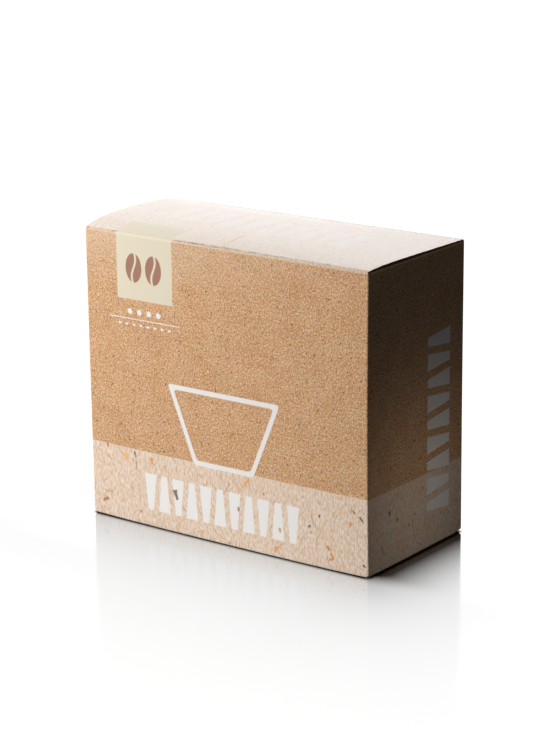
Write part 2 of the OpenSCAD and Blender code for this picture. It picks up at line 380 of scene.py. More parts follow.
# every place on the print is on the flat blank, in millimetres: across from the middle of the front, and up
# from the bottom
printSpec = {
    "frontHalf": 80,         # half the front's width
    "frontEnds": (0.6, 0.4),  # past that, where nothing and where all of the front's own print is left
    "bandTop": 36.7,
    "bandFoot": (-2.2, -1.8),
    "foldLeft": 139.9,       # where the pale print begins under the top fold, at the left and at the right
    "foldRight": 138.6,
    "wander": 0.3,           # how far the pale print's edge strays with the grain
    "overGlare": 0.45,        # how much paler it is over the fold than round the foot
    "icon": [35.6, 72.3, 17.1, 32.15],
    "iconLine": 2.35,
    "iconRounding": 3.0,
    # painted glare: how much paler the print is over the fold than round the foot
    "iconMiddle": -0.2,
    "label": [109.3, 152.8, 16.3, 16.3],
    "labelMiddle": -44.8,
    "rule": [99.8, 100.2, 20.55, 20.55],
    "ruleMiddle": -45.45,
    "dots": (5.6, 4, 1.35, 103.5, 1.0),    # pitch, count, radius, height and how much wider than tall
    "dashes": (4.2, 8, 0.55, 97.3, 1.6),
    "inkEdge": 0.14,
    "inkCover": {"white": 0.95, "lid": 0.25, "label": 0.96},
    "frontRow": {"start": -47.8, "end": 43.1, "low": 8.5, "high": 26.2, "count": 11},
    "sideRow": {"start": 15.5, "end": 103.0, "low": 127.0, "high": 145.5, "count": 9},
    "lidRow": {"start": -57.0, "end": 48.0, "low": 167.0, "high": 192.0, "count": 10},
}

# where light and shade are painted on the print: places in millimetres, and levels of a noise and shares from
# 0 to 1
paintedLight = {
    # painted shade on the lid's lip, along the fold, patchy with the grain
    "lipHeight": (141.6, 140.8), "lipLevels": (0.35, 0.62), "lipLeast": 0.25,
    # a painted sheen that makes the top of the front paler: from where it begins to the fold, and from the
    # right to the left
    "topHeight": (112.0, 139.5), "topMost": 0.35, "topAcross": (60.0, -70.0), "topLeast": 0.1,
    # painted shade in the score of the fold, drawn as a jagged dark line: its gaps, and the middle of the
    # front where it is darkest
    "scoreScale": 0.9, "scoreSway": 4.5, "scoreHeight": 143.1, "scoreWidth": (0.60, 0.20), "scoreMost": 0.7,
    "gapScale": 0.28, "gapLevels": (0.44, 0.56),
    "darkestAt": -6.0, "darkestReach": (50.0, 18.0), "darkestLevels": (0.10, -0.04),
}

# tinted is how strongly the tint colours its specks, grain the specks' size in millimetres, and streak their
# width as a share of their height
kraftColours = {
    "deep": "#b97e4b", "warm": "#e6aa66", "grey": "#cdad82", "light": "#efd4b4",
    "tint": "#c3a298", "tinted": 0.7, "grain": 0.66, "streak": 0.8,
}
strawColours = {
    "deep": "#dec0a0", "warm": "#eed1b6", "grey": "#e6d6c8", "light": "#f4e6db",
    "tint": "#e2cfc6", "tinted": 0.3, "grain": 0.75, "streak": 0.33,
}
inkColours = {"white": "#f4f2f0", "cream": "#e4dbc6", "brown": "#a67c6a"}
# colours of painted light: the glare over the fold, the shade on the lid's lip, the sheen on the top of the
# front and the shade in the score
paintedLightColours = {"over": "#f3efec", "lip": "#c9a987", "top": "#e6d2bd", "score": "#75543a"}

# cell, share of cells, half length, half width, bend, sway in radians, seed, strength and colour, with the
# lengths in millimetres
kraftMarks = [
    (2.6, 0.50, 1.0, 0.22, 0.4, 1.4, 3.0, 0.50, "#a06c3c"),
    (2.3, 0.50, 0.8, 0.20, 0.3, 1.4, 57.0, 0.55, "#f0dcc6"),
    (5.5, 0.25, 0.34, 0.30, 0.0, 1.6, 101.0, 0.85, "#f6f0ea"),
    (4.4, 0.40, 0.55, 0.24, 0.2, 1.6, 211.0, 0.80, "#7c4a2a"),
    (6.5, 0.40, 1.30, 0.22, 0.5, 0.9, 409.0, 0.75, "#6e4630"),
    (9.0, 0.45, 0.60, 0.36, 0.0, 0.9, 307.0, 0.90, "#4e392d"),
]
strawMarks = [
    (2.3, 0.70, 2.0, 0.13, 0.40, 0.35, 5.0, 0.45, "#faf3ea"),
    (2.5, 0.75, 2.2, 0.14, 0.50, 0.40, 67.0, 0.55, "#cb9a69"),
    (4.6, 0.60, 3.4, 0.16, 1.10, 0.8, 113.0, 0.72, "#bd8850"),
    (9.0, 0.60, 5.2, 0.18, 2.20, 1.2, 223.0, 0.75, "#b07e4b"),
    (8.5, 0.35, 2.4, 1.10, 0.20, 0.9, 331.0, 0.40, "#e6b67c"),
    (11.0, 0.35, 0.8, 0.60, 0.30, 1.2, 401.0, 0.75, "#d39a54"),
    (14.0, 0.25, 0.9, 0.45, 0.30, 1.2, 503.0, 0.80, "#a8703f"),
    (22.0, 0.35, 0.8, 0.40, 0.20, 0.9, 601.0, 0.95, "#4a3c36"),
]
# single pieces of straw that are large enough to know: across, up, half length, half width, degrees from
# upright and colour
strawPieces = [
    (-0.8, 150.4, 9.8, 0.50, -4.0, "#eab46c"),
    (12.6, 32.2, 3.4, 0.70, 38.0, "#e9a64a"),
    (-28.4, 18.7, 2.5, 1.30, -18.0, "#5a463d"),
    (-53.0, 34.1, 1.5, 0.60, -22.0, "#4f3f3a"),
    (59.8, 5.2, 1.7, 0.80, 60.0, "#d9963f"),
    (-69.9, 36.0, 1.2, 0.90, -10.0, "#b8793c"),
    (-58.3, 31.6, 2.6, 1.50, -25.0, "#eebb80"),
    (-42.8, 32.5, 1.6, 1.10, -12.0, "#d79a52"),
    (-52.3, 28.3, 2.2, 0.45, -4.0, "#b98246"),
    (-72.1, 8.1, 1.9, 1.00, 55.0, "#a8683a"),
    (-71.0, 12.6, 3.2, 0.35, 88.0, "#d09a63"),
    (-68.0, 12.0, 1.6, 0.35, 15.0, "#c8925c"),
    (-50.0, 6.3, 1.0, 0.90, 80.0, "#cf9350"),
    (-34.7, 30.5, 1.5, 0.40, 4.0, "#c48d54"),
    (1.5, 27.5, 3.4, 0.35, 35.0, "#b98549"),
    (31.8, 13.4, 1.1, 0.85, -10.0, "#d08a35"),
    (8.3, 18.8, 1.0, 0.80, 0.0, "#8a5f33"),
    (29.4, 3.9, 1.6, 1.20, 25.0, "#dba65c"),
    (72.2, 29.8, 0.9, 0.65, -30.0, "#453833"),
    (76.2, 27.1, 1.6, 0.60, -40.0, "#453833"),
    (53.5, 24.4, 0.8, 0.70, 0.0, "#4a3c36"),
    (48.0, 18.6, 0.9, 0.70, 70.0, "#4a3c36"),
    (58.3, 10.2, 1.3, 1.00, -30.0, "#c9853f"),
    (70.3, 23.6, 1.2, 0.85, 20.0, "#dc9b45"),
    (77.7, 5.3, 1.1, 0.65, -50.0, "#4a3c36"),
    (60.5, 6.8, 1.8, 0.75, -35.0, "#d9963f"),
    (96.5, 25.9, 1.2, 0.70, -20.0, "#453833"),
    (90.9, 10.1, 2.0, 0.60, -15.0, "#b8823f"),
    (102.4, 21.3, 0.9, 0.65, 10.0, "#453833"),
    (112.0, 16.0, 0.8, 0.45, 60.0, "#453833"),
]


# detail and roughness of the specks, clouds to a millimetre, how much a cloud lightens or darkens, and the
# levels of the noise between which one colour goes over into the next
grainSetup = {
    "detail": 1.5, "roughness": 0.6,
    "cloudScale": 0.09, "cloudShare": 0.14,
    "warmth": (0.40, 0.60), "low": (0.40, 0.58), "high": (0.58, 0.80), "tinted": (0.53, 0.61),
}


def grainColour(tree, place, codes):
    # pulp grain: specks that differ in lightness and in warmth, a little longer upwards, and broad clouds
    stretched = addNode(tree, vectorTimes, [place, (1.0, codes["streak"], 1.0)])
    specks = addNode(tree, flatNoise, {
        "Vector": stretched, "Scale": 1 / codes["grain"],
        "Detail": grainSetup["detail"], "Roughness": grainSetup["roughness"]})
    parts = addNode(tree, "ShaderNodeSeparateColor", [specks.outputs["Color"]]).outputs
    clouds = addNode(tree, flatNoise, {"Vector": place, "Scale": grainSetup["cloudScale"], "Detail": 2.0})
    level = addNode(tree, timesPlus, [clouds, grainSetup["cloudShare"], parts[0]])
    warmth = addNode(tree, ranged, [parts[1], *grainSetup["warmth"], 0.0, 1.0])
    low = addNode(tree, ranged, [level, *grainSetup["low"], 0.0, 1.0])
    high = addNode(tree, ranged, [level, *grainSetup["high"], 0.0, 1.0])
    paint = addNode(tree, mixedColour, [warmth, codes["grey"], codes["warm"]])
    paint = addNode(tree, mixedColour, [low, codes["deep"], paint])
    paint = addNode(tree, mixedColour, [high, paint, codes["light"]])
    tinted = addNode(tree, ranged, [parts[2], *grainSetup["tinted"], 0.0, codes["tinted"]])
    return addNode(tree, mixedColour, [tinted, paint, codes["tint"]]), parts[0]


# the large pieces of straw narrow towards one end, and their edges are frayed
strawCut = {"fray": 1.1, "frayScale": 1.3, "foot": 0.5, "rounding": 0.3, "edge": (0.20, -0.25), "cover": 0.85}

# places and half sizes in millimetres, and the rest as shares of the half size: the soft edge, and the slit's
# waves, sway and width
beanShape = {
    "places": [(-51.1, 124.4), (-39.5, 124.4)], "half": (4.7, 6.9),
    "edge": (1.02, 0.98), "waves": 2.6, "sway": 0.24, "slit": (0.10, 0.16),
}


def makePrintedBoard():
    # Uncoated recycled folding board, made on a board machine and printed matt. The eye sees speckled brown
    # pulp, a pale straw print with chaff in it, and flat white and cream ink that the grain shows through.
    material, tree = newMaterial("printedRecycledBoard")
    place = addNode(tree, "ShaderNodeAttribute", attribute_name="sheetPlace").outputs["Vector"]
    split = addNode(tree, separated, [place]).outputs
    across, up = split["X"], split["Y"]
    edge = printSpec["inkEdge"]

    kraft, fine = grainColour(tree, place, kraftColours)
    kraft = drawMarks(tree, place, kraft, kraftMarks)
    straw, fineStraw = grainColour(tree, place, strawColours)
    straw = drawMarks(tree, place, straw, strawMarks)

    # the pale print covers the band round the foot, and everything over the top fold of the front
    wander = addNode(tree, timesPlus, [fine, printSpec["wander"], -printSpec["wander"] / 2])
    frontEnds = [printSpec["frontHalf"] + e for e in printSpec["frontEnds"]]
    onFront = addNode(tree, ranged, [addNode(tree, positive, [across]), *frontEnds, 0.0, 1.0])
    slope = (printSpec["foldRight"] - printSpec["foldLeft"]) / (2 * printSpec["frontHalf"])
    foldLine = addNode(tree, timesPlus, [across, slope, (printSpec["foldLeft"] + printSpec["foldRight"]) / 2])
    overFold = addNode(tree, minus, [addNode(tree, plus, [up, wander]), foldLine])
    overFold = addNode(tree, ranged, [overFold, -edge, edge, 0.0, 1.0])
    overFold = addNode(tree, times, [overFold, onFront])
    band = addNode(tree, plus, [up, wander])
    bandTop = printSpec["bandTop"]
    bandTop = addNode(tree, ranged, [band, bandTop + edge, bandTop - edge, 0.0, 1.0])
    bandFoot = addNode(tree, ranged, [band, *printSpec["bandFoot"], 0.0, 1.0])
    band = addNode(tree, times, [bandTop, bandFoot])
    pale = addNode(tree, greater, [overFold, band])
    # the print over the fold is painted paler: a painted glare on the lid
    faded = addNode(tree, times, [overFold, printSpec["overGlare"]])
    straw = addNode(tree, mixedColour, [faded, straw, paintedLightColours["over"]])
    # painted shade on the lid's lip along the fold, patchy with the grain, and a painted sheen that makes the
    # top of the front paler, most of all at the left
    paintedLightMask = addNode(tree, smoothRanged, [up, *paintedLight["lipHeight"], 0.0, 1.0])
    paintedLightMask = addNode(tree, times, [paintedLightMask, overFold])
    shadePatches = addNode(tree, ranged, [fine, *paintedLight["lipLevels"], 1.0, paintedLight["lipLeast"]])
    paintedLightMask = addNode(tree, times, [paintedLightMask, shadePatches])
    straw = addNode(tree, mixedColour, [paintedLightMask, straw, paintedLightColours["lip"]])
    # painted sheen: the front's kraft goes paler towards the top fold, most of all at the left
    paintedLightMask = addNode(tree, smoothRanged, [up, *paintedLight["topHeight"], 0.0, paintedLight["topMost"]])
    leftMore = addNode(tree, smoothRanged, [across, *paintedLight["topAcross"], paintedLight["topLeast"], 1.0])
    paintedLightMask = addNode(tree, times, [paintedLightMask, leftMore])
    kraft = addNode(tree, mixedColour, [paintedLightMask, kraft, paintedLightColours["top"]])
    paint = addNode(tree, mixedColour, [pale, kraft, straw])

    # white ink: the filter outline, the rule, the dots and the rows
    fromIcon = addNode(tree, minus, [across, printSpec["iconMiddle"]])
    icon = trapezoidField(tree, fromIcon, up, printSpec["icon"], printSpec["iconRounding"])
    line = printSpec["iconLine"]
    icon = addNode(tree, plus, [icon, line / 2])
    icon = addNode(tree, minus, [addNode(tree, positive, [icon]), line / 2])
    fromRule = addNode(tree, minus, [across, printSpec["ruleMiddle"]])
    rule = trapezoidField(tree, fromRule, up, printSpec["rule"])
    white = addNode(tree, less, [icon, rule])
    for pitch, count, radius, height, stretch in (printSpec["dots"], printSpec["dashes"]):
        steps = addNode(tree, times, [fromRule, 1 / pitch])
        within = addNode(tree, mathNode, [steps], operation="FRACT")
        within = addNode(tree, timesPlus, [within, pitch / stretch, -pitch / 2 / stretch])
        dot = addNode(tree, combined, [within, addNode(tree, minus, [up, height]), 0.0])
        dot = addNode(tree, minus, [addNode(tree, vectorLength, [dot]).outputs["Value"], radius])
        fence = addNode(tree, minus, [addNode(tree, positive, [fromRule]), pitch * count / 2])
        dot = addNode(tree, greater, [dot, fence])
        white = addNode(tree, less, [white, dot])
    for along, side, spec in ((across, up, "frontRow"), (up, across, "sideRow")):
        white = addNode(tree, less, [white, filterRow(tree, along, side, printSpec[spec])])
    cover = printSpec["inkCover"]
    white = addNode(tree, ranged, [white, edge, -edge, 0.0, cover["white"]])
    paint = addNode(tree, mixedColour, [white, paint, inkColours["white"]])
    faint = filterRow(tree, across, up, printSpec["lidRow"])
    faint = addNode(tree, ranged, [faint, edge, -edge, 0.0, cover["lid"]])
    paint = addNode(tree, mixedColour, [faint, paint, inkColours["white"]])

    # painted shade in the score along the top fold: a jagged broken dark line, darkest near the middle
    scoreWander = addNode(tree, flatNoise, {
        "Vector": place, "Scale": paintedLight["scoreScale"], "Detail": 4.0, "Roughness": 0.65})
    score = addNode(tree, timesPlus, [scoreWander, paintedLight["scoreSway"], -paintedLight["scoreHeight"]])
    score = addNode(tree, positive, [addNode(tree, plus, [up, score])])
    score = addNode(tree, ranged, [score, *paintedLight["scoreWidth"], 0.0, 1.0])
    scoreGaps = addNode(tree, flatNoise, {
        "Vector": place, "Scale": paintedLight["gapScale"], "Detail": 3.0, "Roughness": 0.7})
    where = addNode(tree, positive, [addNode(tree, minus, [across, paintedLight["darkestAt"]])])
    where = addNode(tree, smoothRanged, [where, *paintedLight["darkestReach"], *paintedLight["darkestLevels"]])
    scoreGaps = addNode(tree, minus, [scoreGaps, where])
    broken = addNode(tree, ranged, [scoreGaps, *paintedLight["gapLevels"], 0.0, paintedLight["scoreMost"]])
    score = addNode(tree, times, [score, broken])
    score = addNode(tree, times, [score, onFront])
    paint = addNode(tree, mixedColour, [score, paint, paintedLightColours["score"]])

    # the large pieces of straw lie over the white ink too
    fray = strawCut["fray"]
    ragged = addNode(tree, flatNoise, {"Vector": place, "Scale": strawCut["frayScale"], "Detail": 2.0})
    ragged = [ragged.outputs["Color"], (fray, fray, 0.0), place]
    ragged = addNode(tree, vectorNode, ragged, operation="MULTIPLY_ADD")
    for x, y, halfLength, halfWidth, lean, code in strawPieces:
        moved = addNode(tree, vectorMinus, [ragged, (x + fray / 2, y + fray / 2, 0.0)])
        turned = addNode(tree, turnedFlat, {"Vector": moved, "Angle": math.radians(lean)})
        ends = addNode(tree, separated, [turned]).outputs
        outline = [-halfLength, halfLength, halfWidth * strawCut["foot"], halfWidth]
        field = trapezoidField(tree, ends["X"], ends["Y"], outline, strawCut["rounding"])
        mask = addNode(tree, ranged, [field, *strawCut["edge"], 0.0, strawCut["cover"]])
        mask = addNode(tree, times, [mask, pale])
        paint = addNode(tree, mixedColour, [mask, paint, code])

    # the cream label over the fold, with two beans on it
    fromLabel = addNode(tree, minus, [across, printSpec["labelMiddle"]])
    label = trapezoidField(tree, fromLabel, up, printSpec["label"])
    label = addNode(tree, ranged, [label, edge, -edge, 0.0, cover["label"]])
    paint = addNode(tree, mixedColour, [label, paint, inkColours["cream"]])
    halfWidth, halfHeight = beanShape["half"]
    for x, y in beanShape["places"]:
        local = addNode(tree, vectorMinus, [place, (x, y, 0.0)])
        local = addNode(tree, vectorNode, [local, (halfWidth, halfHeight, 1.0)], operation="DIVIDE")
        parts = addNode(tree, separated, [local]).outputs
        oval = addNode(tree, vectorLength, [local]).outputs["Value"]
        oval = addNode(tree, ranged, [oval, *beanShape["edge"], 0.0, 1.0])
        wave = addNode(tree, times, [parts["Y"], beanShape["waves"]])
        wave = addNode(tree, mathNode, [wave], operation="SINE")
        slit = addNode(tree, timesPlus, [wave, -beanShape["sway"], parts["X"]])
        slit = addNode(tree, ranged, [addNode(tree, positive, [slit]), *beanShape["slit"], 0.0, 1.0])
        bean = addNode(tree, times, [oval, slit])
        paint = addNode(tree, mixedColour, [bean, paint, inkColours["brown"]])

    # fibres stand up by a few hundredths of a millimetre, and the printed places lie a little smoother
    height = addNode(tree, plus, [fine, fineStraw])
    relief = addNode(tree, bumped, {"Strength": 0.35, "Distance": 0.05 * mm, "Height": height})
    printed = addNode(tree, greater, [pale, addNode(tree, greater, [white, label])])
    dull = addNode(tree, ranged, [fine, 0.3, 0.7, 0.72, 0.84])  # roughness of the bare pulp
    dull = addNode(tree, mixed, [printed, dull, 0.40])  # and of the print
    shader = addNode(tree, "ShaderNodeBsdfPrincipled", {
        "Base Color": paint, "Roughness": dull, "Normal": relief, "IOR": 1.48, "Specular IOR Level": 0.3})
    addNode(tree, "ShaderNodeOutputMaterial", {"Surface": shader})
    return material


bareColours = {
    "deep": "#96764f", "warm": "#bf9c74", "grey": "#b39b7e", "light": "#d3bea4",
    "tint": "#a98d7c", "tinted": 0.3, "grain": 0.95, "streak": 0.6,
}
bareMarks = [
    (3.0, 0.5, 1.3, 0.20, 0.5, 1.6, 11.0, 0.6, "#dcc8ae"),
    (3.6, 0.5, 1.2, 0.20, 0.4, 1.6, 83.0, 0.6, "#8a6a49"),
    (6.0, 0.3, 0.5, 0.25, 0.1, 1.6, 131.0, 0.7, "#5f5048"),
]


def makeBareBoard():
    # The unprinted inside of recycled board: greyer pulp with short fibres and ink specks of old paper.
    material, tree = newMaterial("bareRecycledBoard")
    place = addNode(tree, "ShaderNodeAttribute", attribute_name="sheetPlace").outputs["Vector"]
    paint, fine = grainColour(tree, place, bareColours)
    paint = drawMarks(tree, place, paint, bareMarks)
    relief = addNode(tree, bumped, {"Strength": 0.4, "Distance": 0.06 * mm, "Height": fine})
    shader = addNode(tree, "ShaderNodeBsdfPrincipled", {
        "Base Color": paint, "Roughness": 0.85, "Normal": relief, "IOR": 1.48, "Specular IOR Level": 0.3})
    addNode(tree, "ShaderNodeOutputMaterial", {"Surface": shader})
    return material


def makeCutEdge():
    # The knife-cut edge of the board: pale torn fibres in layers. The layers are really finer than 0.1 mm and
    # are drawn at 0.12 mm so that they show.
    material, tree = newMaterial("cutBoardEdge")
    place = addNode(tree, "ShaderNodeTexCoord").outputs["Object"]
    layers = addNode(tree, "ShaderNodeTexNoise", {"Vector": place, "Scale": 1 / (0.12 * mm), "Detail": 2.0})
    fibres = addNode(tree, "ShaderNodeTexNoise", {"Vector": place, "Scale": 1 / (0.6 * mm), "Detail": 3.0})
    level = addNode(tree, times, [addNode(tree, plus, [layers, fibres]), 0.5])
    level = addNode(tree, ranged, [level, 0.35, 0.65, 0.0, 1.0])
    paint = addNode(tree, mixedColour, [level, "#b08d68", "#dcc5a6"])
    shader = addNode(tree, "ShaderNodeBsdfPrincipled", {
        "Base Color": paint, "Roughness": 0.9, "IOR": 1.48, "Specular IOR Level": 0.25})
    addNode(tree, "ShaderNodeOutputMaterial", {"Surface": shader})
    return material


# ripples and fibres to a millimetre, how much longer across the ripples are drawn, and the ridges of the seam
# and the soft edge of it in millimetres
crepe = {"stretch": 0.25, "rippleScale": 1.1, "fibreScale": 1.6, "ridgePitch": 1.6, "seamEdge": (5.0, 4.6)}


def makeFilterPaper():
    # Creped filter paper: soft white pulp with fine cross ripples, and a crimped seam of pressed ridges at
    # the sides. leafPlace holds the distance from the side edge and the height, in millimetres.
    material, tree = newMaterial("crepedFilterPaper")
    place = addNode(tree, "ShaderNodeAttribute", attribute_name="leafPlace").outputs["Vector"]
    split = addNode(tree, separated, [place]).outputs
    crossways = addNode(tree, vectorTimes, [place, (crepe["stretch"], 1.0, 1.0)])
    ripples = addNode(tree, flatNoise, {"Vector": crossways, "Scale": crepe["rippleScale"], "Detail": 3.0})
    fibres = addNode(tree, flatNoise, {"Vector": place, "Scale": crepe["fibreScale"], "Detail": 4.0})
    ridges = addNode(tree, times, [split["Y"], 2 * math.pi / crepe["ridgePitch"]])
    ridges = addNode(tree, mathNode, [ridges], operation="SINE")
    seam = addNode(tree, ranged, [split["X"], *crepe["seamEdge"], 0.0, 1.0])
    pressed = addNode(tree, times, [ridges, seam])
    height = addNode(tree, timesPlus, [pressed, 0.8, ripples])
    # the ridges are also painted lighter on their crests and darker between them: painted shade of the relief
    shade = addNode(tree, timesPlus, [pressed, 0.15, fibres])
    level = addNode(tree, ranged, [shade, 0.3, 0.7, 0.0, 1.0])
    paint = addNode(tree, mixedColour, [level, "#dfd8c8", "#f4f0e6"])
    relief = addNode(tree, bumped, {"Strength": 0.5, "Distance": 0.12 * mm, "Height": height})
    shader = addNode(tree, "ShaderNodeBsdfPrincipled", {
        "Base Color": paint, "Roughness": 0.92, "Normal": relief, "Specular IOR Level": 0.25})
    addNode(tree, "ShaderNodeOutputMaterial", {"Surface": shader})
    return material


boardMaterials = [makePrintedBoard(), makeBareBoard(), makeCutEdge()]
filterPaper = makeFilterPaper()
print("materials are made")


# the folded board, with the same sizes as the CAD part, in millimetres
board = {
    "width": 160, "depth": 77, "height": 140,
    "thickness": 0.48,       # a hair under the CAD's 0.5, so that glued layers don't share a face
    "lidThickness": 0.5,
    "foldRadius": 0.9,
    "seamSetback": 0.3,      # gap between the left panel's edge and the back fold
    "glueFlap": 15, "glueFlapSlope": 15,
    "dustFlap": 48, "dustFlapTaper": 9, "dustFlapCorner": 5,
    "dustFlapBack": 36.9,    # depth at which the dust flaps end
    "sideFlap": 50, "sideFlapCorner": 4,
    "longFlap": 74.6, "longFlapCorner": 3, "longFlapInset": 0.4,
    "seatHeight": 139.2,     # top of the dust flaps, under the lid
    "backTop": 139.7,
    "sideFoot": 1.9,         # heights of the folds of the bottom flaps, which lie over one another
    "backFoot": 1.4,
    "frontFoot": 0.9,
    "frontSeam": 137.25,     # where the front panel goes over into the fold strip
    "bulge": 1.0,            # the full carton's front swells outward at the foot
    "cornerLift": 0.3,       # which lifts its lower corners
    "sidePull": 0.5,         # how far the right side is drawn in at half height
}
foldSteps = 5
stationStep = 5  # millimetres between two places along the blank
wallRows = [3.2, 5, 8, 12, 17, 23, *range(30, 111, 8), 117, 123, 128, 132, 135, board["frontSeam"]]

halfWide, halfDeep, foldR = board["width"] / 2, board["depth"] / 2, board["foldRadius"]
flapX = halfWide - board["lidThickness"]  # the glue flap lies behind the left panel
wallCorners = [
    (-halfWide, halfDeep), (-halfWide, -halfDeep), (halfWide, -halfDeep), (halfWide, halfDeep),
    (-flapX, halfDeep), (-flapX, -halfDeep)]
wallStarts = [-halfWide - board["depth"]]
for a, b in zip(wallCorners, wallCorners[1:]):
    wallStarts.append(wallStarts[-1] + math.dist(a, b))
backRight, backLeft = wallStarts[3], wallStarts[4]


def wallPoint(place):
    # the outside of the walls, seen from above, at a distance along the flat blank
    for k in range(1, 5):
        if abs(place - wallStarts[k]) < foldR:
            corner = Vector(wallCorners[k])
            into = (corner - Vector(wallCorners[k - 1])).normalized()
            out = (Vector(wallCorners[k + 1]) - corner).normalized()
            turn = math.pi / 4 * ((place - wallStarts[k]) / foldR + 1)
            centre = corner - foldR * into + foldR * out
            return centre - foldR * math.cos(turn) * out + foldR * math.sin(turn) * into
    k = max(j for j in range(5) if wallStarts[j] <= place or j == 0)
    start = Vector(wallCorners[k])
    return start + (Vector(wallCorners[k + 1]) - start).normalized() * (place - wallStarts[k])


def wallFoot(place):
    # height at which each panel turns into its bottom flap
    return panelHeight(place, board["sideFoot"], board["frontFoot"], board["backFoot"])


def wallHead(place):
    # and at which it ends, or turns into its dust flap
    return panelHeight(place, board["seatHeight"] - foldR, board["seatHeight"], board["backTop"])


def panelHeight(place, side, front, back):
    # a height for each panel, which goes over into the next one's round the folds
    folds = (-halfWide, halfWide, backRight, backLeft)
    ends = [fold + way * foldR for fold in folds for way in (-1, 1)]
    knots = list(zip(ends, (side, front, front, side, side, back, back, side)))
    for (a, low), (b, high) in zip(knots, knots[1:]):
        if a < place <= b:
            return mix(low, high, (place - a) / (b - a))
    return side


def settled(point):
    # the filled carton isn't dead flat: its front swells at the foot, and its right side is drawn in
    x, y, z = point
    high = min(1, max(0, z / board["frontSeam"]))
    frontShare = max(0, -y / halfDeep) ** 2
    acrossShare = 1 - (x / halfWide) ** 2
    y -= board["bulge"] * acrossShare * (1 - high) ** 1.5 * frontShare
    z += board["cornerLift"] * (abs(x) / halfWide) ** 6 * (1 - high) ** 12 * frontShare
    if x > 0:
        x -= board["sidePull"] * math.sin(math.pi * high) * (x / halfWide) ** 4 * mix(0.3, 1, frontShare)
    return x, y, z


def newSheet():
    sheet = bmesh.new()
    sheet.verts.layers.float_vector.new("sheetPlace")
    return sheet


def addPatch(sheet, rows, shaped=tuple):
    # a row runs to the right as seen from outside, and the rows go up: each entry is a point and its place on
    # the blank
    layer = sheet.verts.layers.float_vector["sheetPlace"]
    grid = []
    for row in rows:
        line = []
        for point, place in row:
            vert = sheet.verts.new([c * mm for c in shaped(point)])
            vert[layer] = (place[0], place[1], 0.0)
            line.append(vert)
        grid.append(line)
    for low, high in zip(grid, grid[1:]):
        for k in range(len(low) - 1):
            sheet.faces.new((low[k], low[k + 1], high[k + 1], high[k]))


def finishSheet(sheet, name, thickness):
    # merges the patches, gives the board its thickness inwards, and leaves a plain mesh
    bmesh.ops.remove_doubles(sheet, verts=sheet.verts, dist=0.002 * mm)
    mesh = bpy.data.meshes.new(name)
    sheet.to_mesh(mesh)
    sheet.free()
    for material in boardMaterials:
        mesh.materials.append(material)
    made = linkObject(name, mesh)
    solid = made.modifiers.new("boardThickness", "SOLIDIFY")
    solid.thickness = thickness * mm
    solid.offset = -1
    solid.use_even_offset = True
    solid.material_offset = 1
    solid.material_offset_rim = 2
    return applyModifiers(made)


def applyModifiers(made):
    bpy.context.view_layer.update()
    graph = bpy.context.evaluated_depsgraph_get()
    mesh = bpy.data.meshes.new_from_object(made.evaluated_get(graph))
    mesh.name = made.name
    made.modifiers.clear()
    made.data = mesh
    mesh.shade_smooth()
    mesh.set_sharp_from_angle(angle=math.radians(40))
    return made


def stations(start, end, extra):
    # places along the blank between two folds, evenly spread, and some extra ones
    count = max(2, round((end - start) / stationStep))
    even = [mix(start, end, k / count) for k in range(count + 1)]
    return sorted({round(s, 5) for s in (*even, *extra)})


def foldStations(middle):
    return [round(middle - foldR + 2 * foldR * k / foldSteps, 5) for k in range(foldSteps + 1)]


seamEnd = wallStarts[0] + board["seamSetback"]
dustLeft = -halfWide - (board["dustFlapBack"] + halfDeep)
dustRight = halfWide + board["dustFlapBack"] + halfDeep
frontEdge = halfWide - foldR
longEdge = frontEdge - board["longFlapInset"]
longBack = (backRight + foldR + board["longFlapInset"], backLeft - foldR - board["longFlapInset"])
allStations = sorted(set(
    stations(seamEnd, -halfWide - foldR, (dustLeft, wallStarts[0] + foldR))
    + foldStations(-halfWide)
    + stations(-frontEdge, frontEdge, (-longEdge, longEdge))
    + foldStations(halfWide)
    + stations(halfWide + foldR, backRight - foldR, (dustRight,))
    + foldStations(backRight)
    + stations(backRight + foldR, backLeft - foldR, longBack)
    + foldStations(backLeft)))


def between(low, high):
    return [s for s in allStations if low - 1e-4 <= s <= high + 1e-4]


def wallColumns(places, levels):
    # levels are heights, or functions of the place
    rows = []
    for level in levels:
        heights = [level(s) if callable(level) else level for s in places]
        rows.append([((*wallPoint(s), z), (s, z)) for s, z in zip(places, heights)])
    return rows


def roundTip(length, corner):
    # how far out and how far drawn in a flap's edge is, in eight steps round the corner at its tip
    turns = [math.pi / 16 * k for k in range(9)]
    return [(length - corner + corner * math.sin(t), corner * (1 - math.cos(t))) for t in turns]


def foldedFlap(sheet, places, edge, upward, length, corner, tapers):
    # a flap that turns in from a wall: a quarter fold, then rows out to its round tip
    sign = 1 if upward else -1
    points = [wallPoint(s) for s in places]
    run = (points[-1] - points[0]).normalized()
    inward = Vector((-run.y, run.x))
    span = (points[-1] - points[0]).length
    rows = []
    for k in range(foldSteps + 1):
        turn = math.pi / 2 * k / foldSteps
        inset, height = foldR * (1 - math.cos(turn)), edge + sign * foldR * math.sin(turn)
        onBlank = edge + sign * 2 * foldR * k / foldSteps
        rows.append([((*(p + inward * inset), height), (s, onBlank)) for p, s in zip(points, places)])
    flat = [length * k / 8 for k in range(1, 8) if length * k / 8 < length - corner - 1]
    for reach, drawnIn in [(d, 0.0) for d in flat] + roundTip(length, corner):
        first = tapers[0] * reach / length + drawnIn
        last = span - tapers[1] * reach / length - drawnIn
        row = []
        for p, s in zip(points, places):
            share = (p - points[0]).dot(run) / span
            here = points[0] + run * mix(first, last, share) + inward * (foldR + reach)
            row.append(((*here, edge + sign * foldR), (s, edge + sign * (2 * foldR + reach))))
        rows.append(row)
    addPatch(sheet, rows if upward else rows[::-1], settled)


